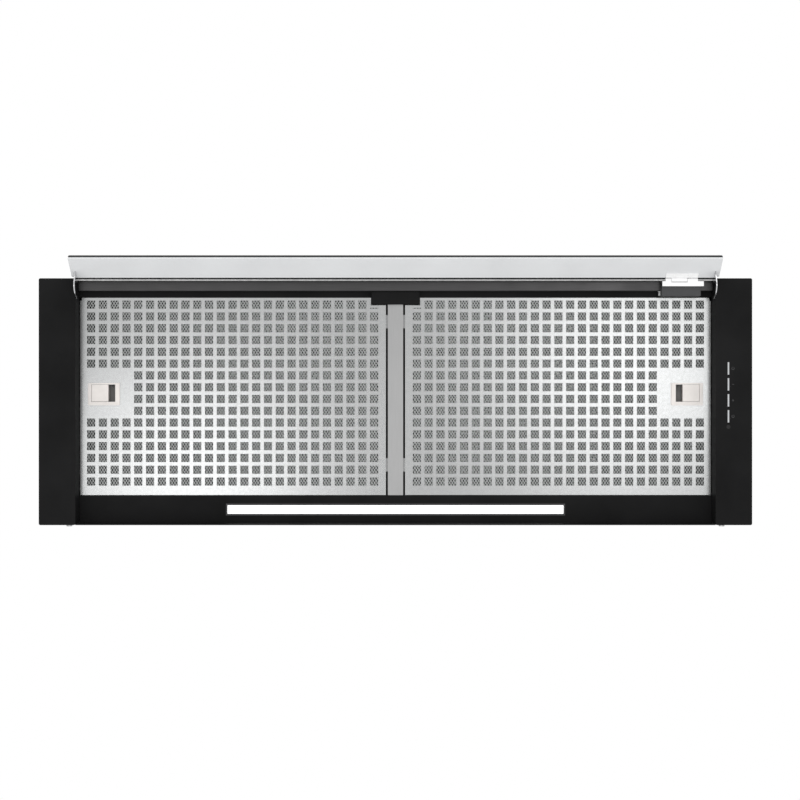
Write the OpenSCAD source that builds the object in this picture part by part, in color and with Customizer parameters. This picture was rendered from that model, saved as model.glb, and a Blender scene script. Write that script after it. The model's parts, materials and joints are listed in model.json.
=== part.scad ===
// Built-in range hood: two grease filters side by side, a tilting front visor, touch controls
// on the right side box, and a blower housing that goes up into the cabinet above.
// Origin: centre of the four cabinet screw holes, in the plane that meets the cabinet.
// +X is the control side, -Y the front, +Z up.

/* [Canopy] */
// Width of the canopy
canopy_w = 860; // [856:1:880]
// Depth of the canopy, front to back
canopy_d = 297.6; // [297.6:0.2:300]
// Height of the canopy below the cabinet
canopy_h = 45; // [44.5:0.5:50]
// Width of each side box
side_w = 44; // [42:1:46]
// How far the filters sit above the lower edge
recess_h = 25; // [24.5:0.5:25.5]
// Thickness of the folded steel sheet
sheet_t = 1.2; // [1:0.1:1.3]

/* [Cabinet fixing] */
// Screw hole spacing along the width
fix_x = 690; // [640:10:700]
// Screw hole spacing along the depth
fix_y = 190; // [170:5:195]
// Screw hole diameter
fix_hole = 5.5; // [4.5:0.5:6.5]

/* [Filters] */
// Thickness of a filter
filter_t = 9; // [8.5:0.5:9]
// Front edge of the filters
filter_front = -126.9; // [-127.1:0.1:-126.4]
// Rear edge of the filters
filter_rear = 114; // [110:0.5:114]
// Side of a square hole
hole_size = 9.7; // [8:0.1:10]
// Spacing of the square holes
hole_pitch = 14.4; // [13.8:0.1:14.4]
// Holes along the width
hole_cols = 25; // [20:1:25]
// Holes along the depth
hole_rows = 16; // [12:1:16]
// Columns and rows left blank round the latch
blank_holes = 4; // [4:1:5]
// Half width of the post between the filters
post_half = 9.4; // [8:0.2:9.6]
// Slider travel when the latch is pulled
latch_travel = 5.5; // [4:0.5:5.5]

/* [Visor] */
// Visor length from its inner to its outer edge
visor_len = 33.6; // [32.5:0.1:35]
// Half width of the visor glass
visor_half = 390.8; // [389:0.2:392.4]
// Angle of the open visor below the horizontal
visor_angle = 50; // [48:1:52]

/* [Light] */
// Length of the light strip
led_len = 410; // [300:5:420]
// Width of the light strip
led_w = 10.4; // [8:0.2:11]

/* [Housing] */
// Width of the blower housing
housing_w = 520; // [500:5:540]
// Depth of the blower housing
housing_d = 250; // [248:1:254]
// Height of the blower housing above the cabinet floor
housing_h = 172; // [172:1:190]
// Outside diameter of the duct collar
collar_d = 150; // [146:1:150]
// Height of the duct collar
collar_h = 45; // [35:1:55]

/* [Hidden] */
$fn = 64;

gap = 0.3;               // clearance between parts that only face each other
run = 0.05;              // radial clearance of a running fit
half_w = canopy_w / 2;
half_d = canopy_d / 2;
z_low = -canopy_h;       // lower edge of the side boxes
z_rec = z_low + recess_h; // visible face of the filters and of the recess
wall_x = half_w - side_w; // inner walls of the side boxes
wall_y = half_d - sheet_t; // inside of the front and rear walls
z_plate = -1.5;          // underside of the top plate

// Filter outline, for the right one
filter_in = post_half + 2.3;
filter_out = wall_x - 0.8;
face_t = 0.8;
back_t = 0.8;
z_filter_top = z_rec + filter_t;
frame_w = 3.4;
mesh_t = 0.5;
mesh_layers = 4;
first_hole = [wall_x - 14.3, filter_front + 8.4];
catch_half = 29.2;
catch_rear = filter_front + 8.4;
catch_h = 4;
notch = 0.6;             // clearance of the filter round the catch

// Latch, for the right filter
latch_x = wall_x - 25.35; // middle of the slider
latch_y = -10.5;
slider = [20.3, 20.6, 6.5];
bezel_lo = [latch_x - 24.15, latch_y - 12.3];
bezel_hi = [latch_x + 14.65, latch_y + 15];
bezel_out = 1.5;
z_bezel = z_rec - bezel_out;
bezel_depth = 9;
slot_lo = [latch_x - slider[0] / 2 - latch_travel - 2.95, latch_y - 10.6];
slot_hi = [latch_x + 10.45, latch_y + 10.6];
bolt_end = filter_out - 0.4;
bolt_w = 9;
pocket_x = 4;            // end of the slider's pocket
post_x = 7.5;            // face of the bezel's post that the spring leans on
bolt_z = [z_rec + 3.2, z_rec + 5.2];

// Visor: rod axis, then the inner edge of its panel
rod_y = -half_d + 2;
rod_z = z_low + 3.4;
rod_r = 1.2;
hinge_y = -half_d - 0.7;
hinge_z = z_low + 3;
panel_t = 1.5;
bond_t = 0.3;
glass_t = 3.2;
rim_w = 0.25;
arm_x = wall_x - 1.9;
arm_t = 1.4;
rail_h = 8;              // height of the hinge rail under the front rail

// White bracket of the visor hinge, on the control side
leaf_x = [326, 365];
plate_x = [322, 372];
damper_x = [322, 369];
damper_y = [filter_front - 12.5, filter_front - 0.9];
knuckle_r = 2.4;
leaf_knuckle = [333, 352];
leaf_screws = [leaf_x[0] + 11, leaf_x[1] - 10];
leaf_screw_y = -4.6;
leaf_screw_r = 1.25;

// Screws in the rear walls of the side boxes: X and Z of their axis
rear_screw = [half_w - 33.5, z_low + 17];
rear_screw_r = 2.1;

// Light strip in the rear panel
led_y = half_d - 17.1;
led_bezel = 2;

// Touch keys on the right side box
key_x = half_w - 28.6;
key_y = [-40.1, -20.9, -1.6, 17.6];
key_size = [1.9, 15];
sensor_y = 30.4;
sensor_r = 2.5;

// Blower
axis_y = 30;
axis_z = 98;
scroll_half = 65;
scroll_t = 1.5;
scroll_r0 = 70;          // scroll radius at the cut-off
scroll_grow = 30;        // radius gained from the cut-off to the outlet
cut_angle = 75;
scroll_steps = 34;
impeller_r = 62;
impeller_in = 50;
impeller_half = 56;
blade_count = 32;
inlet_r = 52;
shaft_r = 4;
motor_r = 44;
motor_x = [-152, -84];
collar_y = axis_y - 40;
collar_r = collar_d / 2;
collar_t = 1.5;
z_cover = housing_h;
cover_t = 1.2;
z_collar = z_cover + cover_t;
flap_z = z_collar + 12;
flap_r = collar_r - collar_t - 1;
flap_t = 1.2;
pin_r = 1.5;
foot_x = -scroll_half - 4; // bracket feet, on the rubbers
foot_r = 62;             // their distance from the motor's axis
foot_angles = [45:90:315];
flange = 9;
ledge = 12;              // top plate left inside the housing's walls

// Inner face of the housing's right wall, which carries the electrics
panel_x = housing_w / 2 - 1;

// Supply cable inlet
gland = [210, 80];
gland_r = 8;
gland_bore = 4.5;

module block(lo, hi) {
    translate(lo) cube(hi - lo);
}

module rod_x(x0, x1, y, z, r) {
    translate([x0, y, z]) rotate([0, 90, 0]) cylinder(h = x1 - x0, r = r);
}

module rod_up(x, y, z0, z1, r) {
    translate([x, y, z0]) cylinder(h = z1 - z0, r = r);
}

module on_side(side) {
    if (side > 0) children();
    else mirror([1, 0, 0]) children();
}

// A rectangle with four round corners
module round_rect(lo, hi, r) {
    translate(lo + [r, 0]) square(hi - lo - [2 * r, 0]);
    translate(lo + [0, r]) square(hi - lo - [0, 2 * r]);
    for (x = [lo[0] + r, hi[0] - r])
        for (y = [lo[1] + r, hi[1] - r])
            translate([x, y]) circle(r);
}

// Extrudes a YZ outline along X
module along_x(x0, x1) {
    translate([x0, 0, 0]) rotate([90, 0, 90]) linear_extrude(x1 - x0) children();
}

// Extrudes an XZ outline along Y
module along_y(y0, y1) {
    translate([0, y1, 0]) rotate([90, 0, 0]) linear_extrude(y1 - y0) children();
}

// The visor's own frame: -Y to its outer edge, +Z to the glass
module visor_frame() {
    translate([0, hinge_y, hinge_z]) rotate([visor_angle, 0, 0]) children();
}

// ---- Canopy ----

module top_plate() {
    color("dimgray") difference() {
        block([-half_w, -half_d, z_plate], [half_w, half_d, 0]);
        block([ledge - housing_w / 2, ledge - housing_d / 2, -5],
              [housing_w / 2 - ledge, housing_d / 2 - ledge, 5]);
        for (x = [-fix_x / 2, fix_x / 2])
            for (y = [-fix_y / 2, fix_y / 2])
                rod_up(x, y, -5, 5, fix_hole / 2);
    }
}

module side_box(side) {
    color([0.12, 0.12, 0.12]) on_side(side) difference() {
        translate([0, 0, z_low]) linear_extrude(z_plate - z_low)
            round_rect([wall_x, -half_d], [half_w, half_d], 2);
        block([wall_x + sheet_t, -wall_y, z_low + sheet_t], [half_w - sheet_t, wall_y, 0]);
        rod_x(wall_x - 1, wall_x + sheet_t + 1, rod_y, rod_z, rod_r + run);
        translate([rear_screw[0], wall_y - 1, rear_screw[1]]) rotate([-90, 0, 0])
            cylinder(h = 5, r = rear_screw_r + run);
        if (side > 0) control_slots();
    }
}

module control_slots() {
    for (y = key_y)
        translate([key_x, y, z_low + sheet_t / 2])
            cube([key_size[0], key_size[1], sheet_t + 1], center = true);
    rod_up(key_x, sensor_y, z_low - 1, z_low + sheet_t + 1, sensor_r);
}

module side_box_left() side_box(-1);
module side_box_right() side_box(1);

module rear_panel() {
    color([0.11, 0.11, 0.11]) difference() {
        union() {
            block([-wall_x, filter_rear + gap, z_rec], [wall_x, wall_y, z_rec + sheet_t]);
            block([-wall_x, wall_y, z_low], [wall_x, half_d, z_plate]);
            block([-wall_x, filter_rear + gap, z_rec], [wall_x, filter_rear + gap + sheet_t, z_rec + 8]);
        }
        block([-led_len / 2 - led_bezel, led_y - led_w / 2 - led_bezel, z_rec - 1],
              [led_len / 2 + led_bezel, led_y + led_w / 2 + led_bezel, z_rec + 3]);
    }
}

module front_rail() {
    lip = 1.7;           // how far the lower edge reaches out behind the visor
    color([0.11, 0.11, 0.11]) {
        block([-wall_x, -wall_y, z_rec], [wall_x, filter_front - gap, z_rec + sheet_t]);
        block([-wall_x, -half_d, z_low + 7.5], [wall_x, -wall_y, z_plate]);
        block([-wall_x, -half_d - lip, z_low + 7.5], [wall_x, -wall_y, z_low + 7.5 + sheet_t]);
        block([-wall_x, filter_front - gap - sheet_t, z_rec], [wall_x, filter_front - gap, z_rec + 8]);
    }
}

module hinge_rail() {
    lo = [gap - wall_y, z_rec - rail_h];
    hi = [filter_front - 7.6, z_rec];
    color([0.3, 0.3, 0.31]) along_x(gap - wall_x, wall_x - gap) difference() {
        round_rect(lo, hi, sheet_t);
        round_rect(lo + [sheet_t, sheet_t], hi - [sheet_t, sheet_t], 0.4);
    }
}

module filter_pan() {
    z = z_filter_top + 1;
    color("silver") difference() {
        block([-wall_x, -wall_y, z], [wall_x, wall_y, z + 1]);
        for (side = [-1, 1]) on_side(side)
            block([20, filter_front + 9, z - 1], [wall_x - 10, filter_rear - 9, z + 2]);
    }
}

module centre_post() {
    color([0.7, 0.7, 0.7]) {
        block([-post_half, filter_front - gap, z_rec], [post_half, filter_rear + gap, z_rec + 1.2]);
        block([-4, filter_front, z_rec + 1.2], [4, filter_rear, z_filter_top + 1]);
    }
}

module centre_catch() {
    color([0.1, 0.1, 0.1]) difference() {
        translate([0, 0, z_rec - catch_h]) linear_extrude(catch_h)
            round_rect([-catch_half, filter_front - 7.5], [catch_half, catch_rear], 0.8);
        block([-catch_half + 3, filter_front - 6, z_rec - catch_h + 1.5],
              [catch_half - 3, catch_rear - 1.5, z_rec - 1.2]);
    }
}

// ---- Light and controls ----

module led_channel() {
    lo = [-led_len / 2 - led_bezel, led_y - led_w / 2 - led_bezel, z_rec];
    hi = [led_len / 2 + led_bezel, led_y + led_w / 2 + led_bezel, z_rec + 9];
    color([0.25, 0.25, 0.25]) difference() {
        block(lo, hi);
        block(lo + [led_bezel, led_bezel, -1], hi - [led_bezel, led_bezel, 1.2]);
    }
}

module led_board() {
    color("white") {
        block([-led_len / 2, led_y - 4, z_rec + 7], [led_len / 2, led_y + 4, z_rec + 7.8]);
        for (i = [0:23])
            translate([(i - 11.5) * led_len / 24, led_y, z_rec + 6.6]) cube([3.5, 2.8, 0.8], center = true);
    }
}

module led_diffuser() {
    color("white")
        block([-led_len / 2, led_y - led_w / 2, z_rec], [led_len / 2, led_y + led_w / 2, z_rec + 2]);
}

module touch_board() {
    color("darkgreen")
        block([half_w - 38, -52, z_low + sheet_t], [half_w - 12, 42, z_low + sheet_t + 1.6]);
}

module touch_keys() {
    color([0.8, 0.8, 0.8]) for (y = key_y)
        translate([key_x, y, z_low + sheet_t / 2]) cube([key_size[0], key_size[1], sheet_t], center = true);
}

module touch_sensor_window() {
    color([0.2, 0.2, 0.2]) rod_up(key_x, sensor_y, z_low, z_low + sheet_t, sensor_r);
}

module rear_screws() {
    head_h = 2.6;
    color("silver") for (side = [-1, 1]) on_side(side)
        translate([rear_screw[0], half_d, rear_screw[1]]) rotate([-90, 0, 0]) difference() {
            union() {
                cylinder(h = head_h, r = rear_screw_r + 1.5);
                translate([0, 0, -9]) cylinder(h = 9, r = rear_screw_r);
            }
            for (a = [0, 90]) translate([0, 0, head_h]) rotate([0, 0, a]) cube([4.2, 0.9, 2], center = true);
        }
}

// ---- Visor and its hinge ----

module visor_panel() {
    cut = 1.9;           // keeps the corners off the side boxes as the visor closes
    color([0.85, 0.85, 0.86]) visor_frame() difference() {
        block([-visor_half + rim_w, rim_w - visor_len, 0], [visor_half - rim_w, 0, panel_t]);
        for (side = [-1, 1]) on_side(side) block([wall_x - gap, -cut, -1], [visor_half, 1, panel_t + 1]);
        for (x = leaf_screws) rod_up(x, leaf_screw_y, -1, panel_t + 1, leaf_screw_r + 2 * run);
    }
}

module visor_glass() {
    z = panel_t + bond_t;
    color([0.1, 0.12, 0.12]) visor_frame() {
        translate([0, 0, z]) linear_extrude(glass_t)
            round_rect([-visor_half, -visor_len], [visor_half, 0.4], 2);
        block([-visor_half + 12, 4 - visor_len, panel_t], [visor_half - 12, -2, z]);
    }
}

module visor_rod() {
    color("silver") rod_x(-wall_x - sheet_t - 1, wall_x + sheet_t + 1, rod_y, rod_z, rod_r);
}

// A point on the panel's inner face, in the YZ plane, at a distance from its inner edge
function on_panel(s) = [hinge_y - s * cos(visor_angle), hinge_z - s * sin(visor_angle)];

// Side arm: an eye round the rod, an ear on the panel and a sickle that hooks back into the canopy
module visor_arm(side) {
    tip = [rod_y + 23, z_low + 1];
    low = [rod_y + 8, z_low - 13.6];
    color("gainsboro") on_side(side) along_x(arm_x, arm_x + arm_t) difference() {
        union() {
            translate([rod_y, rod_z]) circle(2.9);
            polygon([
                on_panel(12), low + [-5, 0.7], low, low + [5, 2.2], low + [9.5, 6.2], tip + [-2, -2.6], tip,
                tip + [-2.4, 1], low + [6.6, 7.6], low + [0, 4], low + [-5, 5.2],
                [rod_y + 2.9, rod_z], [rod_y, rod_z + 0.5], on_panel(0.5)
            ]);
        }
        translate([rod_y, rod_z]) circle(rod_r);
    }
}

module visor_arm_left() visor_arm(-1);
module visor_arm_right() visor_arm(1);

module visor_leaf() {
    color("white") difference() {
        union() {
            visor_frame() difference() {
                union() {
                    block([leaf_x[0], -8.2, -1], [leaf_x[1], -0.9, 0]);
                    block([leaf_knuckle[0], -2, -1], [leaf_knuckle[1], 0.3, 0]);
                }
                for (x = leaf_screws) rod_up(x, leaf_screw_y, -2, 1, leaf_screw_r + run);
            }
            rod_x(leaf_knuckle[0], leaf_knuckle[1], rod_y, rod_z, knuckle_r);
            block([leaf_knuckle[0], hinge_y + 0.6, rod_z - knuckle_r], [leaf_knuckle[1], rod_y, rod_z - 0.6]);
        }
        rod_x(leaf_x[0] - 1, leaf_x[1] + 1, rod_y, rod_z, rod_r);
    }
}

module visor_screws() {
    recess = [3, 0.7, 1];
    color("silver") visor_frame() for (x = leaf_screws) translate([x, leaf_screw_y, 0]) difference() {
        union() {
            rod_up(0, 0, -2, -1, leaf_screw_r + 0.95);
            rod_up(0, 0, -1, panel_t, leaf_screw_r);
        }
        for (a = [0, 90]) translate([0, 0, -2]) rotate([0, 0, a]) cube(recess, center = true);
    }
}

module visor_base_plate() {
    side_knuckles = [[leaf_x[0], leaf_knuckle[0] - gap], [leaf_knuckle[1] + gap, leaf_x[1]]];
    back = damper_y[0];
    color("white") difference() {
        union() {
            difference() {
                block([plate_x[0], rod_y + 1.4, z_low + 1], [plate_x[1], back, z_low + 2.4]);
                block([leaf_knuckle[0] - gap, rod_y, z_low], [leaf_knuckle[1] + gap, rod_y + 2.8, z_low + 4]);
            }
            block([plate_x[0] + 3, back - 1.4, z_low + 1], [plate_x[1] - 3, back, z_rec - rail_h]);
            for (k = side_knuckles) {
                rod_x(k[0], k[1], rod_y, rod_z, knuckle_r);
                block([k[0], rod_y, rod_z - knuckle_r], [k[1], rod_y + 2.8, rod_z - 0.6]);
            }
        }
        rod_x(plate_x[0] - 1, plate_x[1] + 1, rod_y, rod_z, rod_r + run);
    }
}

module visor_damper() {
    color([0.28, 0.28, 0.28])
        block([damper_x[0], damper_y[0], z_low + 5], [damper_x[1], damper_y[1], z_rec - rail_h]);
}

// ---- Filters ----

// Outline of the right filter, pulled in by a margin. It stops short of the catch and of the visor's arm.
module filter_outline(margin) {
    difference() {
        translate([filter_in + margin, filter_front + margin])
            square([filter_out - filter_in - 2 * margin, filter_rear - filter_front - 2 * margin]);
        translate([0, filter_front - 1])
            square([catch_half + notch + margin, catch_rear - filter_front + 1 + notch + margin]);
        translate([arm_x - 0.9 - margin, filter_front - 1]) square([20, 4.7 + margin]);
    }
}

module latch_window(clear) {
    inset = [2 - clear, 2 - clear];
    translate(bezel_lo + inset) square(bezel_hi - bezel_lo - 2 * inset);
}

// Room for the bolt between two places along X
module bolt_slot(x0, x1) {
    half = bolt_w / 2 + gap;
    block([x0, latch_y - half, bolt_z[0] - gap], [x1, latch_y + half, bolt_z[1] + gap]);
}

module filter_face(side) {
    color([0.78, 0.79, 0.79]) on_side(side) translate([0, 0, z_rec]) linear_extrude(face_t) difference() {
        filter_outline(0);
        latch_window(0);
        for (i = [0:hole_cols - 1])
            for (j = [0:hole_rows - 1])
                if (i >= blank_holes || j < 6 || j >= 6 + blank_holes)
                    translate([first_hole[0] - i * hole_pitch, first_hole[1] + j * hole_pitch])
                        square(hole_size, center = true);
    }
}

module filter_frame(side) {
    tab_h = z_rec + 1.2 + gap;
    color([0.72, 0.73, 0.73]) on_side(side) difference() {
        union() {
            translate([0, 0, z_rec + face_t]) linear_extrude(filter_t - face_t) difference() {
                filter_outline(0);
                filter_outline(frame_w);
            }
            for (y = [-106, 69])
                block([post_half - 2.2, y, tab_h], [filter_in + 1, y + 16.5, tab_h + 1.2]);
        }
        bolt_slot(bezel_hi[0] - 3, filter_out + 1);
    }
}

// The mesh pack: separate layers of expanded sheet
module filter_mesh(side) {
    pitch = (filter_t - face_t - back_t - mesh_t) / (mesh_layers - 1);
    color([0.6, 0.62, 0.6]) on_side(side) difference() {
        for (i = [0:mesh_layers - 1])
            translate([0, 0, z_rec + face_t + i * pitch]) linear_extrude(mesh_t) difference() {
                filter_outline(frame_w);
                latch_window(0.2);
            }
        bolt_slot(bezel_hi[0] - 3, filter_out + 1);
    }
}

// The sheet behind the mesh, with a grid of windows
module filter_back(side) {
    cols = 6;
    rows = 4;
    bar = [8, 10];
    edge = [60, 26];     // width and depth left out of the grid
    first = [filter_in + frame_w + 12, filter_front + frame_w + 17];
    span = [filter_out - filter_in - 2 * frame_w, filter_rear - filter_front - 2 * frame_w];
    cell = [(span[0] - edge[0]) / cols, (span[1] - edge[1]) / rows];
    color([0.72, 0.73, 0.73]) on_side(side)
        translate([0, 0, z_filter_top - back_t]) linear_extrude(back_t) difference() {
            filter_outline(frame_w);
            for (i = [0:cols - 1])
                for (j = [0:rows - 1])
                    translate(first + [i * cell[0], j * cell[1]]) square(cell - bar);
        }
}

module latch_bezel(side) {
    z_back = z_bezel + bezel_depth;
    color([0.93, 0.92, 0.9]) on_side(side) difference() {
        union() {
            translate([0, 0, z_bezel]) linear_extrude(bezel_out) round_rect(bezel_lo, bezel_hi, 1.2);
            translate([0, 0, z_rec]) linear_extrude(bezel_depth - bezel_out) latch_window(0);
        }
        difference() {
            block([slot_lo[0], slot_lo[1], z_bezel - 1], [slot_hi[0], slot_hi[1], z_back - 1]);
            block([latch_x - post_x - 1.2, latch_y - 3, z_bezel + slider[2] - 4],
                  [latch_x - post_x, latch_y + 3, z_back]);
        }
        bolt_slot(slot_hi[0] - 1, bezel_hi[0]);
    }
}

module latch_slider(side) {
    lo = [latch_x - slider[0] / 2, latch_y - slider[1] / 2, z_bezel];
    hi = lo + slider;
    color([0.96, 0.95, 0.93]) on_side(side) difference() {
        union() {
            block(lo, hi);
            block([hi[0] - 4, latch_y - bolt_w / 2, bolt_z[0]],
                  [bolt_end, latch_y + bolt_w / 2, bolt_z[1]]);
        }
        block([latch_x - 9, latch_y - 4, hi[2] - 4.4], [latch_x + pocket_x, latch_y + 4, hi[2] + 1]);
    }
}

// A zigzag leaf in the slider's pocket: it leans on the bezel's post and pushes the slider outwards
module latch_spring(side) {
    z = z_bezel + slider[2] - 3.9;
    x0 = latch_x - post_x;
    x1 = latch_x + pocket_x;
    folds = 5;
    step = (x1 - x0) / folds;
    tip = 3;             // half width of the zigzag
    leaf = 0.4;          // thickness of a leaf, along Y
    lap = 0.2;           // overlap of two leaves at a fold
    color("silver") on_side(side) translate([0, 0, z]) linear_extrude(2.4) intersection() {
        translate([x0, latch_y - tip]) square([x1 - x0, 2 * tip]);
        for (i = [0:folds - 1]) {
            y = i % 2 == 0 ? 1 : -1;
            translate([x0 + i * step, latch_y]) polygon([
                [-lap, -tip * y], [leaf, -tip * y], [step + lap, (tip - leaf) * y],
                [step + lap, tip * y], [step - leaf, tip * y], [-lap, (leaf - tip) * y]
            ]);
        }
    }
}

module filter_frame_left() filter_frame(-1);
module filter_face_left() filter_face(-1);
module filter_mesh_left() filter_mesh(-1);
module filter_back_left() filter_back(-1);
module latch_bezel_left() latch_bezel(-1);
module latch_slider_left() latch_slider(-1);
module latch_spring_left() latch_spring(-1);
module filter_frame_right() filter_frame(1);
module filter_face_right() filter_face(1);
module filter_mesh_right() filter_mesh(1);
module filter_back_right() filter_back(1);
module latch_bezel_right() latch_bezel(1);
module latch_slider_right() latch_slider(1);
module latch_spring_right() latch_spring(1);

// ---- Blower housing ----

module blower_housing() {
    x = housing_w / 2;
    y = housing_d / 2;
    color("silver") difference() {
        union() {
            block([-x, -y, 0], [x, y, z_cover]);
            block([-x - flange, -y - flange, 0], [x + flange, y + flange, sheet_t]);
        }
        block([-x + 1, -y + 1, -1], [x - 1, y - 1, z_cover + 1]);
    }
}

module housing_cover() {
    x = housing_w / 2;
    y = housing_d / 2;
    color("silver") difference() {
        block([-x, -y, z_cover], [x, y, z_collar]);
        rod_up(0, collar_y, z_cover - 1, z_collar + 1, collar_r - collar_t);
        rod_up(gland[0], gland[1], z_cover - 1, z_collar + 1, gland_r + run);
    }
}

module housing_screws() {
    x = housing_w / 2;
    y = housing_d / 2;
    color("gray") {
        for (i = [-2:2])
            for (side = [-1, 1])
                rod_up(i * housing_w / 5, side * (y + flange / 2), sheet_t, sheet_t + 2, 3.2);
        for (i = [-1:1])
            for (side = [-1, 1])
                rod_up(side * (x + flange / 2), i * housing_d / 3, sheet_t, sheet_t + 2, 3.2);
        for (sx = [-1, 1])
            for (sy = [-1, 1])
                rod_up(sx * (x - 8), sy * (y - 8), z_collar, z_collar + 2, 3.2);
        translate([0, collar_y, z_collar + 1.2]) for (a = [45:90:315])
            rotate([0, 0, a]) rod_up(collar_r + 5, 0, 0, 1.8, 2.4);
    }
}

module duct_collar() {
    color([0.2, 0.2, 0.2]) difference() {
        union() {
            rod_up(0, collar_y, z_collar, z_collar + collar_h, collar_r);
            rod_up(0, collar_y, z_collar, z_collar + 1.2, collar_r + 9);
        }
        rod_up(0, collar_y, z_collar - 1, z_collar + collar_h + 1, collar_r - collar_t);
        rod_x(-collar_r - 1, collar_r + 1, collar_y, flap_z, pin_r);
    }
}

module flap_pin() {
    color("silver") rod_x(-collar_r, collar_r, collar_y, flap_z, pin_r);
}

// A half disc with barrels round the pin; side -1 is the front one
module flap(side, barrels) {
    edge = 3.5;
    color("gray") difference() {
        union() {
            translate([0, collar_y, flap_z - flap_t / 2]) linear_extrude(flap_t) difference() {
                circle(flap_r);
                translate([-flap_r, side > 0 ? edge - 2 * flap_r : -edge]) square(2 * flap_r);
            }
            for (b = barrels) {
                rod_x(b[0], b[1], collar_y, flap_z, 2.6);
                translate([b[0], collar_y + (side > 0 ? 1.8 : -edge - 1), flap_z - flap_t / 2])
                    cube([b[1] - b[0], edge - 0.8, flap_t]);
            }
        }
        rod_x(-flap_r, flap_r, collar_y, flap_z, pin_r + run);
    }
}

module flap_front() flap(-1, [[-46, -26], [26, 46]]);
module flap_rear() flap(1, [[-24, 24]]);

// ---- Blower ----

function scroll_point(i, inset) =
    let (t = i / scroll_steps, a = cut_angle - (180 + cut_angle) * t, r = scroll_r0 + scroll_grow * t - inset)
    [axis_y + r * cos(a), axis_z + r * sin(a)];

// Outline of the scroll and its outlet, in the YZ plane
module scroll_outline(inset, top) {
    x_cut = scroll_point(0, 0)[0] - inset;
    x_out = scroll_point(scroll_steps, inset)[0];
    polygon(concat(
        [for (i = [0:scroll_steps]) scroll_point(i, inset)],
        [[x_out, top], [x_cut, top], [x_cut, scroll_point(0, inset)[1]]]
    ));
}

// The spiral wall between the two cheeks
module blower_scroll() {
    inner = scroll_half - scroll_t;
    color([0.25, 0.25, 0.26]) along_x(-inner, inner) difference() {
        scroll_outline(0, z_cover);
        scroll_outline(scroll_t, z_cover + 1);
    }
}

// The flat side plates of the scroll, each with a round inlet
module scroll_cheeks() {
    color([0.25, 0.25, 0.26]) for (side = [-1, 1]) on_side(side)
        along_x(scroll_half - scroll_t, scroll_half) difference() {
            scroll_outline(0, z_cover);
            translate([axis_y, axis_z]) circle(inlet_r);
        }
}

module inlet_rings() {
    color([0.3, 0.3, 0.32]) for (side = [-1, 1]) on_side(side)
        translate([scroll_half, axis_y, axis_z]) rotate([0, 90, 0]) rotate_extrude() difference() {
            translate([inlet_r - 1, 0]) square([3.5, 5]);
            translate([inlet_r - 1, 5]) circle(2);
        }
}

module impeller() {
    color([0.35, 0.35, 0.36]) difference() {
        union() {
            for (x = [-impeller_half, impeller_half - 2])
                translate([x, axis_y, axis_z]) rotate([0, 90, 0]) linear_extrude(2) difference() {
                    circle(impeller_r);
                    circle(impeller_in);
                }
            rod_x(-1, 1, axis_y, axis_z, impeller_r);
            rod_x(-14, 14, axis_y, axis_z, 11);
            translate([0, axis_y, axis_z]) rotate([0, 90, 0]) for (i = [0:blade_count - 1])
                rotate([0, 0, i * 360 / blade_count]) translate([impeller_in + 1, 0, -impeller_half + 1])
                    rotate([0, 0, 25]) cube([10.5, 1, 2 * impeller_half - 2]);
        }
        rod_x(-20, 20, axis_y, axis_z, shaft_r);
    }
}

module motor_shaft() {
    color("silver") rod_x(motor_x[0] + 10, 24, axis_y, axis_z, shaft_r);
}

module motor() {
    cap = 6;             // length of each end cap
    color("dimgray") difference() {
        union() {
            rod_x(motor_x[0] + cap, motor_x[1] - cap, axis_y, axis_z, motor_r);
            rod_x(motor_x[0], motor_x[1], axis_y, axis_z, motor_r - 14);
        }
        rod_x(motor_x[0] + cap + 2, motor_x[1] + 1, axis_y, axis_z, shaft_r + run);
    }
}

// A band round the motor with four arms, whose feet stand on the rubbers
module motor_bracket() {
    arm_half = 5;
    band_x = [foot_x - 35, foot_x - 23];
    web_x = [foot_x - 33, foot_x - 27];
    color("gray") difference() {
        translate([0, axis_y, axis_z]) {
            rod_x(band_x[0], band_x[1], 0, 0, motor_r + 3);
            for (a = foot_angles) rotate([a, 0, 0]) {
                block([web_x[0], motor_r + 1, -arm_half], [web_x[1], foot_r + 2, arm_half]);
                block([web_x[0], foot_r - 2, -arm_half], [foot_x, foot_r + 2, arm_half]);
            }
        }
        rod_x(band_x[0] - 1, foot_x, axis_y, axis_z, motor_r);
    }
}

module motor_rubbers() {
    color([0.1, 0.1, 0.1]) translate([0, axis_y, axis_z]) for (a = foot_angles)
        rotate([a, 0, 0]) rod_x(foot_x, -scroll_half, foot_r, 0, 4.5);
}

// ---- Electrics ----

module capacitor() {
    place = [150, housing_d / 2 - 18];
    can_z = [30, 95];
    color("lightgray") {
        rod_up(place[0], place[1], can_z[0], can_z[1], 17);
        for (x = [-4, 4]) rod_up(place[0] + x, place[1], can_z[1], can_z[1] + 6, 1.2);
    }
}

module electronics_box() {
    lo = [panel_x - 60, -110, 55];
    hi = [panel_x, 10, 110];
    wall = [2, 2, 2];
    color([0.9, 0.9, 0.88]) difference() {
        block(lo, hi);
        block(lo + wall, hi - wall);
    }
}

// The driver's case, on a base plate with a screw lug at each end
module led_driver() {
    lo = [panel_x - 32, 30, 55];
    hi = [panel_x, 90, 78];
    lug = 6;
    color([0.85, 0.85, 0.85]) {
        block(lo, hi);
        block([hi[0] - 20, lo[1] - lug, lo[2]], [hi[0], hi[1] + lug, lo[2] + 3]);
    }
}

// Five poles side by side, each with a wire entry
module terminal_block() {
    pole = 8;
    lo = [panel_x - 16, 40, 120];
    hi = [panel_x, lo[1] + 5 * pole, 138];
    color("white") difference() {
        block(lo, hi);
        for (i = [0:4]) rod_x(lo[0] - 4, lo[0] + 8, lo[1] + (i + 0.5) * pole, hi[2] - 5, 2);
    }
}

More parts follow.
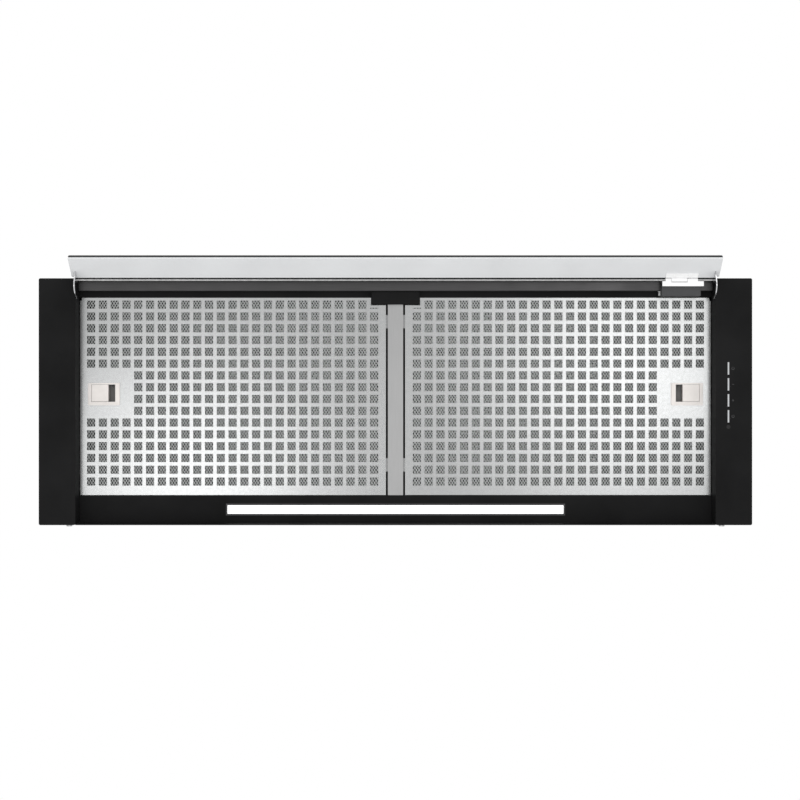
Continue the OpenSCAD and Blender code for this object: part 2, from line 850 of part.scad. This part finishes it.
module cable_gland() {
    nut_h = 6;
    body_h = 5;
    cap_h = 11;
    color([0.1, 0.1, 0.1]) translate([gland[0], gland[1], 0]) difference() {
        union() {
            rod_up(0, 0, z_cover - nut_h - 2, z_collar + body_h, gland_r);
            translate([0, 0, z_collar]) cylinder(h = body_h, r = gland_r + 4, $fn = 6);
            rod_up(0, 0, z_collar + body_h, z_collar + body_h + cap_h, gland_r + 2.5);
            translate([0, 0, z_cover - nut_h]) cylinder(h = nut_h, r = gland_r + 3.5, $fn = 6);
        }
        rod_up(0, 0, z_cover - 2 * nut_h, z_collar + 2 * cap_h, gland_bore);
    }
}

top_plate();
side_box_left();
side_box_right();
rear_panel();
front_rail();
hinge_rail();
filter_pan();
centre_post();
centre_catch();
led_channel();
led_board();
led_diffuser();
touch_board();
touch_keys();
touch_sensor_window();
visor_base_plate();
visor_damper();
rear_screws();
blower_housing();
housing_cover();
housing_screws();
duct_collar();
flap_pin();
blower_scroll();
scroll_cheeks();
inlet_rings();
motor();
motor_bracket();
motor_rubbers();
capacitor();
electronics_box();
led_driver();
terminal_block();
cable_gland();
visor_glass();
visor_panel();
visor_rod();
visor_arm_left();
visor_arm_right();
visor_leaf();
visor_screws();
filter_frame_left();
filter_face_left();
filter_mesh_left();
filter_back_left();
latch_bezel_left();
latch_slider_left();
latch_spring_left();
filter_frame_right();
filter_face_right();
filter_mesh_right();
filter_back_right();
latch_bezel_right();
latch_slider_right();
latch_spring_right();
impeller();
motor_shaft();
flap_front();
flap_rear();
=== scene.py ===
"""Looks of the range hood: materials for every CAD node, finer sheets in place of the plain
filter meshes, a few small added pieces, and a plain white studio seen from straight below."""

import json
import math

import bpy
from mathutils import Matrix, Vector


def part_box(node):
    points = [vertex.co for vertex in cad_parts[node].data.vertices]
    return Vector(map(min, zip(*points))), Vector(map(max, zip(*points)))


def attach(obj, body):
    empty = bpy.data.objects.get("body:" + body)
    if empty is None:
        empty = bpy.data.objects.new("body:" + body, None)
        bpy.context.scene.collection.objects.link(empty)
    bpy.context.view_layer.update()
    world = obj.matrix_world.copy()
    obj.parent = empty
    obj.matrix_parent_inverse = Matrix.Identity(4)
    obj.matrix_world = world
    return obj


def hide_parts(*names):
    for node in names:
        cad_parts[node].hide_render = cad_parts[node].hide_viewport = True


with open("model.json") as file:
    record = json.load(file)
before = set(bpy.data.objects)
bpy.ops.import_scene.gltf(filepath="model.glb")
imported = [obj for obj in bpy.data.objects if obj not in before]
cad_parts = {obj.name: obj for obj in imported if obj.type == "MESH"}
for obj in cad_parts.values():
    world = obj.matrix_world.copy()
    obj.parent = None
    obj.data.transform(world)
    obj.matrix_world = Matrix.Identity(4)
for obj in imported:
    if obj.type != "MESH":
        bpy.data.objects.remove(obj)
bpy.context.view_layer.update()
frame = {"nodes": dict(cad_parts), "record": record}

MM = 0.001
NODES = frame["nodes"]
FACE_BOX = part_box("filter_face_right")
CATCH_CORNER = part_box("centre_catch")[1]
BEZEL_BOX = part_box("latch_bezel_right")


# ---- Camera and light ----

EYE_BELOW = 1.9         # camera to the canopy's lower edge
CANOPY_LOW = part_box("side_box_left")[0].z
EYE_SHIFT = (0.0055, -0.00205)      # camera from the hood's middle, along x and y
LENS_MM = 70.94


def make_camera():
    """The camera looks straight up, with the front of the hood at the top of the picture."""
    data = bpy.data.cameras.new("camera")
    data.lens = LENS_MM
    camera = bpy.data.objects.new("camera", data)
    camera.location = (*EYE_SHIFT, CANOPY_LOW - EYE_BELOW)
    camera.rotation_euler = (math.pi, 0, 0)
    bpy.context.scene.collection.objects.link(camera)
    bpy.context.scene.camera = camera


def make_world():
    world = bpy.data.worlds.new("studio")
    world.use_nodes = True
    background = world.node_tree.nodes["Background"]
    background.inputs["Color"].default_value = (1, 1, 1, 1)
    background.inputs["Strength"].default_value = 1.0
    bpy.context.scene.world = world
    bpy.context.scene.view_settings.view_transform = "Standard"


def soft_light(name, place, target, size, power):
    data = bpy.data.lights.new(name, "AREA")
    data.shape = "DISK"
    data.size = size
    data.energy = power
    light = bpy.data.objects.new(name, data)
    light.location = place
    light.rotation_euler = (Vector(target) - Vector(place)).to_track_quat("-Z", "Y").to_euler()
    light.visible_camera = False
    bpy.context.scene.collection.objects.link(light)


# ---- Material helper ----

NOISE_SPAN = (0.3, 0.7)     # noise mostly lies between these
LOOKS_DOWN = (-0.3, -0.6)   # z part of a face's direction, from barely to fully facing down


class Finish:
    """A Principled material with procedural detail in object coordinates, which are metres."""

    def __init__(self, name, color, rough, metal=0.0, specular=0.5):
        self.material = bpy.data.materials.new(name)
        self.material.use_nodes = True
        self.tree = self.material.node_tree
        self.shader = self.tree.nodes["Principled BSDF"]
        self.shader.inputs["Metallic"].default_value = metal
        self.shader.inputs["Specular IOR Level"].default_value = specular
        self.shader.inputs["Base Color"].default_value = (*color, 1)
        self.shader.inputs["Roughness"].default_value = rough
        self.color = color
        self.place = self.node("TexCoord").outputs["Object"]
        self.height = None

    def node(self, kind, **sockets):
        made = self.tree.nodes.new("ShaderNode" + kind)
        for name, value in sockets.items():
            made.inputs[name].default_value = value
        return made

    def link(self, a, b):
        self.tree.links.new(a, b)

    def stretched(self, stretch):
        """Object coordinates scaled by stretch, for grain that runs along an axis."""
        mapping = self.node("Mapping")
        mapping.inputs["Scale"].default_value = stretch
        self.link(self.place, mapping.inputs["Vector"])
        return mapping.outputs["Vector"]

    def noise(self, size, detail=2.0, stretch=(1, 1, 1)):
        """Noise with features about size metres across."""
        made = self.node("TexNoise", Scale=1 / size, Detail=detail)
        self.link(self.stretched(stretch), made.inputs["Vector"])
        return made.outputs["Fac"]

    def cells(self, size, stretch=(1, 1, 1), feature="F1", output="Color"):
        made = self.node("TexVoronoi", Scale=1 / size)
        made.feature = feature
        self.link(self.stretched(stretch), made.inputs["Vector"])
        return made.outputs[output]

    def spread(self, fac, low, high):
        """Noise mapped to low to high."""
        return self.mapped(fac, *NOISE_SPAN, low, high)

    def tint(self, fac, low, high):
        """Base colour from low to high times the finish's colour, by fac."""
        ramp = self.node("ValToRGB")
        for stop, place, factor in zip(ramp.color_ramp.elements, NOISE_SPAN, (low, high)):
            stop.position = place
            stop.color = (*[c * factor for c in self.color], 1)
        self.link(fac, ramp.inputs["Fac"])
        self.link(ramp.outputs["Color"], self.shader.inputs["Base Color"])
        return self

    def coordinate(self, axis, output="Object"):
        """One object coordinate, or with output="Normal" one part of the face's direction."""
        split = self.node("SeparateXYZ")
        self.link(self.node("TexCoord").outputs[output], split.inputs["Vector"])
        return split.outputs[axis]

    def mapped(self, value, start, end, low, high):
        """value from start to end, mapped to low to high and held there beyond them."""
        made = self.node("MapRange")
        for name, number in zip(("From Min", "From Max", "To Min", "To Max"), (start, end, low, high)):
            made.inputs[name].default_value = number
        self.link(value, made.inputs["Value"])
        return made.outputs["Result"]

    def times(self, factor):
        """Multiplies the base colour by a factor. It comes after tint."""
        socket = self.shader.inputs["Base Color"]
        made = self.node("VectorMath")
        made.operation = "SCALE"
        self.link(socket.links[0].from_socket, made.inputs[0])
        self.link(factor, made.inputs["Scale"])
        self.link(made.outputs["Vector"], socket)
        return self

    def paint_shade_by_depth(self, z_near, z_far, floor):
        """Painted shade inside: the colour of faces that look down falls towards floor times itself from
        z_near to z_far.
        """
        shade_loss = self.mapped(self.coordinate("Z"), z_near, z_far, 0, floor - 1)
        facing = self.mapped(self.coordinate("Z", "Normal"), *LOOKS_DOWN, 0, 1)
        made = self.node("Math")
        made.operation = "MULTIPLY_ADD"
        made.inputs[2].default_value = 1
        self.link(shade_loss, made.inputs[0])
        self.link(facing, made.inputs[1])
        return self.times(made.outputs["Value"])

    def roughen(self, fac, low, high):
        self.link(self.spread(fac, low, high), self.shader.inputs["Roughness"])
        return self

    def bump(self, fac, depth, strength=1.0):
        """Adds a height of depth metres to the bump chain."""
        made = self.node("Bump", Strength=strength, Distance=depth)
        self.link(fac, made.inputs["Height"])
        if self.height is not None:
            self.link(self.height, made.inputs["Normal"])
        self.height = made.outputs["Normal"]
        self.link(self.height, self.shader.inputs["Normal"])
        return self

    def set(self, **sockets):
        for name, value in sockets.items():
            self.shader.inputs[name.replace("_", " ")].default_value = value
        return self


def powder_coat(name, color, rough=0.6, specular=0.12):
    """Matt sprayed paint: orange peel, a fine grain and faint clouding."""
    made = Finish(name, color, rough, specular=specular)
    made.tint(made.noise(0.06, 4), 0.8, 1.25)
    made.roughen(made.noise(0.0022, 3), rough - 0.06, rough + 0.06)
    made.bump(made.noise(0.0016, 2), 0.00004, 0.5)
    return made.bump(made.noise(0.0004, 2), 0.00001, 0.4)


def brushed(name, color, rough, along, contrast=0.12, metal=1.0):
    """Metal with fine lines along one axis and a slow drift in tone."""
    lines = [1, 1, 1]
    lines["XYZ".index(along)] = 0.015
    made = Finish(name, color, rough, metal=metal)
    grain = made.noise(0.0005, 3, lines)
    made.tint(grain, 1 - contrast, 1 + contrast)
    made.roughen(made.noise(0.03, 4), rough - 0.05, rough + 0.07)
    return made.bump(grain, 0.000004, 0.4)


def rolled(name, color, rough, contrast=0.1):
    """Satin aluminium sheet: a fine grain and soft mottling."""
    made = Finish(name, color, rough, metal=1.0)
    made.tint(made.noise(0.0035, 6), 1 - contrast, 1 + contrast)
    made.roughen(made.noise(0.004, 5), rough - 0.012, rough + 0.012)
    return made.bump(made.noise(0.0007, 3), 0.000005, 0.4)


def galvanised(name, color, rough):
    """Zinc spangle: small crystals of a slightly different tone and gloss each."""
    made = Finish(name, color, rough, metal=1.0)
    spangle = made.cells(0.0045)
    made.tint(spangle, 0.92, 1.06)
    made.roughen(spangle, rough - 0.03, rough + 0.05)
    return made.bump(made.noise(0.0012, 3), 0.00001, 0.3)


def moulded(name, color, rough, specular=0.4, grain=0.00002):
    """Injection-moulded plastic with a spark-eroded grain."""
    made = Finish(name, color, rough, specular=specular)
    made.tint(made.noise(0.02, 4), 0.93, 1.07)
    made.roughen(made.noise(0.003, 3), rough - 0.05, rough + 0.05)
    return made.bump(made.noise(0.0005, 2), grain, 0.5)


def polished(name, color, rough):
    """Bright metal with hairlines and a few smears."""
    made = Finish(name, color, rough, metal=1.0)
    made.tint(made.noise(0.01, 4), 0.93, 1.05)
    made.roughen(made.noise(0.004, 5), rough - 0.04, rough + 0.08)
    return made.bump(made.noise(0.0004, 2, (0.05, 1, 1)), 0.000002, 0.3)


def plated(name, color, rough):
    """Zinc plate on a screw or bracket: a grainy satin with darker patches."""
    made = Finish(name, color, rough, metal=1.0)
    made.tint(made.noise(0.004, 5), 0.8, 1.1)
    made.roughen(made.noise(0.0015, 3), rough - 0.08, rough + 0.1)
    return made.bump(made.noise(0.0006, 3), 0.00001, 0.4)


def enamel(name, color, rough):
    """Smooth satin enamel with a trace of orange peel and dust."""
    made = Finish(name, color, rough, specular=0.35)
    made.tint(made.noise(0.05, 5), 0.97, 1.03)
    made.roughen(made.noise(0.004, 4), rough - 0.05, rough + 0.06)
    return made.bump(made.noise(0.002, 2), 0.00002, 0.3)


def circuit(name, color):
    """Solder mask over copper tracks: a fine maze of raised lines."""
    made = Finish(name, color, 0.35, specular=0.5)
    gaps = made.cells(0.003, feature="DISTANCE_TO_EDGE", output="Distance")
    tracks = made.mapped(gaps, 0, 0.08, 0, 1)
    made.tint(tracks, 1.8, 0.9)
    return made.bump(tracks, 0.00003, 0.5)


def opal(name):
    """The lit diffuser: glowing opal plastic with a faint mottle."""
    made = Finish(name, (0.95, 0.95, 0.95), 0.45)
    made.tint(made.noise(0.004, 2), 0.96, 1.0)
    made.bump(made.noise(0.001, 2), 0.00002, 0.3)
    return made.set(Emission_Color=(1, 1, 1, 1), Emission_Strength=1.1)


def dark_glass(name):
    """Back-painted glass: deep and glossy, with faint wiping marks."""
    made = Finish(name, (0.012, 0.014, 0.014), 0.06, specular=0.5)
    made.tint(made.noise(0.08, 3), 0.9, 1.2)
    made.roughen(made.noise(0.02, 5, (1, 3, 1)), 0.04, 0.1)
    return made


def capacitor_can(name):
    """Drawn aluminium with rings round the can."""
    made = Finish(name, (0.62, 0.62, 0.62), 0.3, metal=1.0)
    made.tint(made.noise(0.001, 3, (0.05, 0.05, 1)), 0.85, 1.08)
    return made.bump(made.noise(0.0008, 2, (0.05, 0.05, 1)), 0.00001, 0.4)


FINISHES = {
    "black_steel": powder_coat("black_steel", (0.0095, 0.0095, 0.0097), 0.62, 0.05),
    "satin_rail": brushed("satin_rail", (0.062, 0.061, 0.062), 0.36, "X"),
    "galvanised_steel": galvanised("galvanised_steel", (0.36, 0.37, 0.38), 0.4),
    "post_aluminium": brushed("post_aluminium", (0.31, 0.31, 0.31), 0.34, "Y", 0.03),
    # Painted shade: faces that look down 0.1 to 2 mm behind the face sheet fall to 0.04 of the colour, so
    # the inside seen through the holes reads dark.
    "filter_aluminium": rolled("filter_aluminium", (0.365, 0.37, 0.37), 0.26, 0.03).paint_shade_by_depth(
        FACE_BOX[1].z + 0.1 * MM, FACE_BOX[1].z + 2 * MM, 0.04),
    # Painted shade: the coarse mesh layers behind the fine one fall to 0.05 of the colour, for the dark dots
    # between the strands.
    "mesh_aluminium": rolled("mesh_aluminium", (0.37, 0.38, 0.375), 0.34, 0.06).paint_shade_by_depth(
        FACE_BOX[1].z + 0.8 * MM, FACE_BOX[1].z + 1.5 * MM, 0.05),
    "black_plastic": moulded("black_plastic", (0.0085, 0.0085, 0.0087), 0.55, 0.08),
    "grey_plastic": moulded("grey_plastic", (0.05, 0.05, 0.052), 0.5, 0.3),
    "ivory_plastic": moulded("ivory_plastic", (0.74, 0.73, 0.69), 0.42),
    # Painted shade: the latch's slot falls to 0.08 of the colour from 1 to 5 mm deep, for the shadow under
    # the slider.
    "latch_plastic": moulded("latch_plastic", (0.74, 0.70, 0.67), 0.34, 0.5).paint_shade_by_depth(
        FACE_BOX[0].z + 1 * MM, FACE_BOX[0].z + 5 * MM, 0.08),
    "circuit_board": circuit("circuit_board", (0.02, 0.12, 0.05)),
    "light_diffuser": opal("light_diffuser"),
    "key_light_guide": moulded("key_light_guide", (0.46, 0.47, 0.48), 0.3, 0.3, 0.00001),
    "sensor_window": moulded("sensor_window", (0.013, 0.013, 0.013), 0.3, 0.15, 0.000005),
    "visor_glass": dark_glass("visor_glass"),
    "pale_enamel": enamel("pale_enamel", (0.74, 0.75, 0.76), 0.34),
    "white_enamel": enamel("white_enamel", (0.93, 0.93, 0.93), 0.3),
    "bright_steel": polished("bright_steel", (0.62, 0.62, 0.63), 0.16),
    "zinc_steel": plated("zinc_steel", (0.42, 0.42, 0.42), 0.32),
    "motor_paint": powder_coat("motor_paint", (0.05, 0.05, 0.055), 0.45, 0.3),
    "capacitor_can": capacitor_can("capacitor_can"),
    "black_rubber": moulded("black_rubber", (0.02, 0.02, 0.02), 0.75, 0.2, 0.00003),
}


# ---- CAD nodes ----

EDGE_ROUND = {"filter_face": 0.16, "touch": 0.12, "latch": 0.3, "visor_arm": 0.3, "visor_glass": 0.5}
EDGE_ROUND_DEFAULT = 0.25


def edge_round(node):
    """Radius of a node's edges in metres."""
    found = [r for start, r in EDGE_ROUND.items() if node.startswith(start)]
    return (found[0] if found else EDGE_ROUND_DEFAULT) * MM


def dress(node, slot):
    """Gives a CAD node its finish, round edges and smooth shading. Its own vertices stay as they are."""
    obj = NODES[node]
    obj.data.materials.clear()
    obj.data.materials.append(FINISHES[slot].material)
    obj.data.polygons.foreach_set("use_smooth", [True] * len(obj.data.polygons))
    for custom in [a for a in obj.data.attributes if a.name == "custom_normal"]:
        obj.data.attributes.remove(custom)
    obj.modifiers.new("join_faces", "WELD").merge_threshold = 0.002 * MM
    flats = obj.modifiers.new("clear_flats", "DECIMATE")
    flats.decimate_type = "DISSOLVE"
    flats.angle_limit = math.radians(0.5)
    bevel = obj.modifiers.new("round_edges", "BEVEL")
    bevel.width = edge_round(node)
    bevel.segments = 2
    bevel.limit_method = "ANGLE"
    bevel.angle_limit = math.radians(35)
    bevel.use_clamp_overlap = False
    obj.modifiers.new("even_shading", "WEIGHTED_NORMAL")


# ---- Mesh pieces ----

def add_piece(name, verts, faces, slot, body, smooth=False):
    mesh = bpy.data.meshes.new(name)
    mesh.from_pydata([tuple(v) for v in verts], [], faces)
    mesh.validate()
    mesh.polygons.foreach_set("use_smooth", [smooth] * len(mesh.polygons))
    mesh.materials.append(FINISHES[slot].material)
    obj = bpy.data.objects.new(name, mesh)
    bpy.context.scene.collection.objects.link(obj)
    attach(obj, body)
    return obj


def in_rect(x, y, lo, hi):
    return lo[0] < x < hi[0] and lo[1] < y < hi[1]


FRAME_WALL = 3.4 * MM       # width of the filter frame's rim
CELL_OVERLAP = 1.2 * MM     # how far a cell's middle may lie inside the rim
FINE_CELL = (3.39 * MM, 5.22 * MM)
FINE_STRAND = 0.54 * MM
COARSE_CELL = (12 * MM, 6.4 * MM)
COARSE_STRAND = 0.9 * MM
CORNER_IN = 1.15            # strands from a cell's corner to its opening's corner


def mesh_region(x, y):
    """Whether a mesh cell at this place on the right filter lies inside the frame and clear of the latch."""
    lo, hi = FACE_BOX
    rim = FRAME_WALL - CELL_OVERLAP
    if not in_rect(x, y, (lo.x + rim, lo.y + rim), (hi.x - rim, hi.y - rim)):
        return False
    if x < CATCH_CORNER.x + rim and y < CATCH_CORNER.y + rim:
        return False
    return not in_rect(x, y, BEZEL_BOX[0], BEZEL_BOX[1])


def expanded_sheet(cell, strand, z_ridge, z_flat):
    """Vertices and faces of a sheet of rhombic cells. Each strand is a ridge on a flat back."""
    half = (cell[0] / 2, cell[1] / 2)
    shrink = [1 - 2 * strand / side * CORNER_IN for side in cell]
    lo, hi = FACE_BOX
    cols = range(int(lo.x / half[0]), int(hi.x / half[0]) + 1)
    rows = range(int(lo.y / half[1]) - 1, int(hi.y / half[1]) + 1)
    corners = ((1, 0), (0, 1), (-1, 0), (0, -1))
    verts, faces, shared = [], [], {}
    rim_edges = {}      # edges that only one cell has, in the order found

    def lattice(i, j):
        if (i, j) not in shared:
            shared[i, j] = len(verts)
            verts.append((i * half[0], j * half[1], z_ridge))
            verts.append((i * half[0], j * half[1], z_flat))
        return shared[i, j]

    for j in rows:
        for i in cols:
            x, y = i * half[0], j * half[1]
            if (i + j) % 2 or not mesh_region(x, y):
                continue
            outer = [lattice(i + a, j + b) for a, b in corners]
            inner = len(verts)
            for a, b in corners:
                verts.append((x + a * half[0] * shrink[0], y + b * half[1] * shrink[1], z_flat))
            for k in range(4):
                m = (k + 1) % 4
                faces.append((outer[k], inner + k, inner + m, outer[m]))
                faces.append((outer[k] + 1, outer[m] + 1, inner + m, inner + k))
                edge = (outer[k], outer[m])
                if edge[::-1] in rim_edges:
                    del rim_edges[edge[::-1]]
                else:
                    rim_edges[edge] = True
    for a, b in rim_edges:
        faces.append((a, b, b + 1, a + 1))
    return verts, faces


def turned(verts, faces):
    """The same sheet on the left filter, with its faces turned so that they still point outwards."""
    return [(-x, y, z) for x, y, z in verts], [f[::-1] for f in faces]


def filter_meshes():
    face_back = FACE_BOX[1].z
    sheets = {
        "fine": [(FINE_CELL, FINE_STRAND, face_back + 0.3 * MM, face_back + 0.4 * MM)],
        "coarse": [
            (COARSE_CELL, COARSE_STRAND, face_back + 1.6 * MM, face_back + 2.6 * MM),
            (COARSE_CELL[::-1], COARSE_STRAND, face_back + 4.6 * MM, face_back + 5.6 * MM),
        ],
    }
    for kind, layers in sheets.items():
        verts, faces = [], []
        for cell, strand, z_ridge, z_flat in layers:
            v, f = expanded_sheet(cell, strand, z_ridge, z_flat)
            faces += [tuple(i + len(verts) for i in face) for face in f]
            verts += v
        for side in ("right", "left"):
            if side == "left":
                verts, faces = turned(verts, faces)
            sheet = add_piece(f"filter_{kind}_mesh_{side}", verts, faces, "mesh_aluminium", f"filter_{side}")
            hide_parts(f"filter_mesh_{side}")


# ---- Small pieces ----

def merged(parts):
    """One piece's vertices and faces from several closed parts."""
    verts, faces = [], []
    for v, f in parts:
        faces += [tuple(i + len(verts) for i in face) for face in f]
        verts += v
    return verts, faces


def prism(outline, z0, z1):
    """A closed prism on an outline that runs anticlockwise seen from above."""
    n = len(outline)
    verts = [(x, y, z) for z in (z0, z1) for x, y in outline]
    sides = [(i, (i + 1) % n, n + (i + 1) % n, n + i) for i in range(n)]
    return verts, [tuple(range(n))[::-1], tuple(range(n, 2 * n))] + sides


def bar(lo, hi):
    return prism([(lo[0], lo[1]), (hi[0], lo[1]), (hi[0], hi[1]), (lo[0], hi[1])], lo[2], hi[2])


def arc(center, radius, width, start, end, z0, z1, steps=20):
    """A closed part of a ring, from start to end degrees."""
    turns = [math.radians(start + (end - start) * i / steps) for i in range(steps + 1)]

    def at(angle, r):
        return center[0] + r * math.cos(angle), center[1] + r * math.sin(angle)

    outer = [at(a, radius + width) for a in turns]
    inner = [at(a, radius) for a in reversed(turns)]
    return prism(outer + inner, z0, z1)


MARK_X = 406.9 * MM         # middle of the signs
MARK_R = 1.25 * MM
MARK_LINE = 0.5 * MM
MARK_PROUD = 0.04 * MM
PLUS_GAP = 0.01 * MM        # keeps the plus sign's upright clear of its bar


def touch_marks():
    """Plain printed signs beside the four touch keys: lamp, less, more and on/off."""
    ends = sorted({round(v.co.y, 6) for v in NODES["touch_keys"].data.vertices})
    middles = [(a + b) / 2 for a, b in zip(ends[::2], ends[1::2])]
    z = (CANOPY_LOW - MARK_PROUD, CANOPY_LOW + MARK_PROUD)
    half = MARK_LINE / 2
    lamp, less, more, power = [(MARK_X, y) for y in middles]

    def stroke(at, dx, dy):
        return bar((at[0] - dx, at[1] - dy, z[0]), (at[0] + dx, at[1] + dy, z[1]))

    parts = [
        arc(lamp, MARK_R, MARK_LINE, -60, 240, *z),
        stroke((lamp[0], lamp[1] - MARK_R - MARK_LINE), half, half),
        stroke(less, MARK_R, half),
        stroke(more, MARK_R, half),
        stroke((more[0], more[1] + half + MARK_R / 2), half, MARK_R / 2 - PLUS_GAP),
        stroke((more[0], more[1] - half - MARK_R / 2), half, MARK_R / 2 - PLUS_GAP),
        arc(power, MARK_R, MARK_LINE, -50, 230, *z),
        stroke((power[0], power[1] - MARK_R), half, MARK_R / 2),
    ]
    add_piece("touch_marks", *merged(parts), "grey_plastic", "root")


VISOR_ANGLE = math.radians(50)
PANEL_T = 1.5 * MM
HEM_W = 11 * MM
HEM_T = 0.3 * MM
HEM_INSET = 0.3 * MM


def visor_hem():
    """The folded hem along the panel's outer edge."""
    lo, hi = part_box("visor_panel")
    c, s = math.cos(VISOR_ANGLE), math.sin(VISOR_ANGLE)
    hinge = (hi.y, hi.z - PANEL_T * c)
    length = (hi.y - lo.y - PANEL_T * s) / c
    verts, faces = bar((lo.x + HEM_INSET, HEM_INSET - length, -HEM_T), (hi.x - HEM_INSET, HEM_W - length, 0))
    placed = [(x, hinge[0] + y * c - z * s, hinge[1] + y * s + z * c) for x, y, z in verts]
    add_piece("visor_hem", placed, faces, "pale_enamel", "visor")


PAD_FAR = 2.3 * MM          # the pad's far side from the damper
PAD_NEAR = 0.05 * MM
PAD_OFF_RAIL = 0.2 * MM
PAD_INSET = 1 * MM
PAD_BELOW_TOP = 0.02 * MM


def damper_pad():
    """The small pad beside the damper box, behind the hinge rail."""
    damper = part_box("visor_damper")
    rail_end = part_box("hinge_rail")[1]
    lo = (damper[0].x - PAD_FAR, rail_end.y + PAD_OFF_RAIL, damper[1].z - PAD_INSET)
    hi = (damper[0].x - PAD_NEAR, damper[1].y - PAD_INSET, rail_end.z - PAD_BELOW_TOP)
    # Painted shade: the pad is white in itself, but it gets the grey zinc finish to look as dim as it does
    # in the shade behind the rail.
    add_piece("damper_pad", *bar(lo, hi), "zinc_steel", "root")


TRIM_Z = (-0.15 * MM, -0.01 * MM)      # from the light channel's lower edge


def light_trim():
    """A narrow grey frame round the diffuser, just below the light channel's rim."""
    outer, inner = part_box("led_channel"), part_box("led_diffuser")
    low, high = [outer[0].z + step for step in TRIM_Z]
    (x0, y0), (x1, y1) = outer[0].xy, outer[1].xy
    (a0, b0), (a1, b1) = inner[0].xy, inner[1].xy
    parts = [
        bar((x0, y0, low), (x1, b0, high)),
        bar((x0, b1, low), (x1, y1, high)),
        bar((x0, b0, low), (a0, b1, high)),
        bar((a1, b0, low), (x1, b1, high)),
    ]
    add_piece("light_trim", *merged(parts), "grey_plastic", "root")


# ---- Build ----

# Place, target, size in metres and power in watts of each light
LIGHTS = {
    "left_below": ((-0.5, 0.19, -1.95), (-0.24, 0.08, 0), 0.55, 2.4),
    "right_below": ((0.55, -0.06, -1.95), (0.28, -0.03, 0), 0.55, 2.3),
    "front_below": ((0.3, -1.6, -1.1), (0, -0.15, -0.05), 0.8, 5),
    "front_above": ((-1.2, -2.0, 1.8), (0, 0, 0.1), 1.5, 12),
}

make_camera()
make_world()
for light_name, light in LIGHTS.items():
    soft_light(light_name, *light)

for row in frame["record"]["subparts"]:
    dress(row["node"], row["material_slot"])
filter_meshes()
touch_marks()
visor_hem()
damper_pad()
light_trim()
